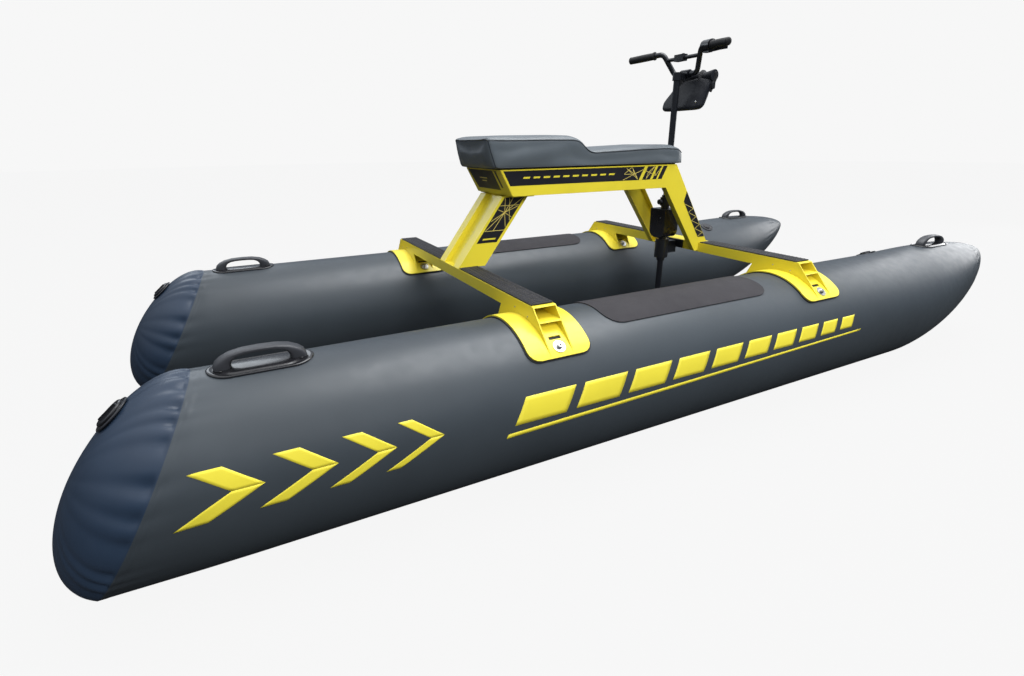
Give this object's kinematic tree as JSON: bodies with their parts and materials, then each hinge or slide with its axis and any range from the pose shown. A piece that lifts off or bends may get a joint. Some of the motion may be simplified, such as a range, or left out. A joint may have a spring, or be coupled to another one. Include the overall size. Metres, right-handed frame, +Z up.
{
  "type": "electric pedal boat",
  "caption": "Twin-pontoon inflatable water bike: padded straddle seat on a leaning frame, steered and height-adjustable handlebar column with electric thruster, cross beams on saddles",
  "frame": {"origin": "on the ground under the middle of the boat, centred between the two pontoons", "axes": "+X starboard, +Y forward to the bow, +Z up"},
  "size_m": [1.674, 4.0432, 1.3727],
  "materials": {
    "pontoon_pvc": "satin coated PVC fabric",
    "traction_foam": "matt textured EVA foam",
    "yellow_powder_coat": "semi-gloss powder coat on aluminium",
    "black_rubber": "matt",
    "black_moulding": "semi-gloss moulded",
    "tread_rubber": "ribbed",
    "seat_vinyl": "marine vinyl, fine grain",
    "black_metal": "satin black powder coat on aluminium",
    "stainless_steel": "brushed",
    "bag_tarpaulin": "coated tarpaulin, semi-gloss",
    "bronze": "turned",
    "battery_case": "moulded"
  },
  "bodies": {
    "float_frame": {"battery_pack": "battery_case", "carry_handle_bow_port": "black_moulding", "carry_handle_bow_starboard": "black_moulding", "carry_handle_stern_port": "black_moulding", "carry_handle_stern_starboard": "black_moulding", "crossbeam_front": "yellow_powder_coat", "crossbeam_rear": "yellow_powder_coat", "pontoon_port": "pontoon_pvc", "pontoon_starboard": "pontoon_pvc", "rear_leg": "yellow_powder_coat", "relief_valve_port": "black_moulding", "relief_valve_starboard": "black_moulding", "saddle_bolt_front_port_inboard": "stainless_steel", "saddle_bolt_front_port_outboard": "stainless_steel", "saddle_bolt_front_starboard_inboard": "stainless_steel", "saddle_bolt_front_starboard_outboard": "stainless_steel", "saddle_bolt_rear_port_inboard": "stainless_steel", "saddle_bolt_rear_port_outboard": "stainless_steel", "saddle_bolt_rear_starboard_inboard": "stainless_steel", "saddle_bolt_rear_starboard_outboard": "stainless_steel", "saddle_front_port": "yellow_powder_coat", "saddle_front_starboard": "yellow_powder_coat", "saddle_liner_front_port": "black_rubber", "saddle_liner_front_starboard": "black_rubber", "saddle_liner_rear_port": "black_rubber", "saddle_liner_rear_starboard": "black_rubber", "saddle_rear_port": "yellow_powder_coat", "saddle_rear_starboard": "yellow_powder_coat", "seat_cushion": "seat_vinyl", "seat_end_plate": "yellow_powder_coat", "seat_pan": "black_metal", "seat_side_port": "yellow_powder_coat", "seat_side_starboard": "yellow_powder_coat", "steering_bracket": "black_metal", "steering_bush": "bronze", "traction_pad_port": "traction_foam", "traction_pad_starboard": "traction_foam", "tread_front_port": "tread_rubber", "tread_front_starboard": "tread_rubber", "tread_rear_port": "tread_rubber", "tread_rear_starboard": "tread_rubber", "valve_base_port": "black_moulding", "valve_base_starboard": "black_moulding"},
    "valve_cap_starboard": {"valve_cap_starboard": "black_moulding"},
    "valve_cap_port": {"valve_cap_port": "black_moulding"},
    "steering_head": {"steering_sleeve": "black_metal", "drive_head": "black_moulding"},
    "clamp_knob": {"clamp_knob": "black_moulding"},
    "column": {"column_tube": "black_metal", "display_unit": "black_moulding", "grip_port": "black_rubber", "grip_starboard": "black_rubber", "handlebar": "black_metal", "handlebar_bag": "bag_tarpaulin", "stem": "black_metal", "throttle_housing": "black_moulding", "thruster_pod": "black_metal"},
    "throttle_lever": {"throttle_lever": "black_moulding"},
    "power_button": {"power_button": "black_rubber"},
    "propeller": {"propeller": "black_moulding"}
  },
  "joints": [
    {"name": "steering", "type": "hinge", "parent": "float_frame", "child": "steering_head", "pos_m": [0, 0.291, 0.6], "axis": [0, 0, 1], "range_deg": [-40, 40]},
    {"name": "clamp_knob_turn", "type": "hinge", "parent": "steering_head", "child": "clamp_knob", "pos_m": [0, 0.291, 0.713], "axis": [0, -1, 0], "range_deg": [-540, 0]},
    {"name": "column_height", "type": "slide", "parent": "steering_head", "child": "column", "axis": [0, 0, 1], "range_m": [-0.05, 0.12]},
    {"name": "throttle", "type": "hinge", "parent": "column", "child": "throttle_lever", "pos_m": [0.148, 0.325, 1.339], "axis": [0, 0, 1], "range_deg": [-8, 0], "stiffness_Nm_per_rad": 0.15},
    {"name": "power_button_press", "type": "slide", "parent": "column", "child": "power_button", "axis": [0, 0, -1], "range_m": [0, 0.0015], "stiffness_N_per_m": 900},
    {"name": "propeller_spin", "type": "hinge", "parent": "column", "child": "propeller", "pos_m": [0, 0.291, 0.17], "axis": [0, 1, 0], "continuous": true},
    {"name": "valve_cap_starboard_turn", "type": "hinge", "parent": "float_frame", "child": "valve_cap_starboard", "pos_m": [0.597, -1.86742, 0.41935], "axis": [0, -0.657, 0.7539], "range_deg": [0, 90]},
    {"name": "valve_cap_port_turn", "type": "hinge", "parent": "float_frame", "child": "valve_cap_port", "pos_m": [-0.597, -1.86742, 0.41935], "axis": [0, -0.657, 0.7539], "range_deg": [0, 90]}
  ]
}
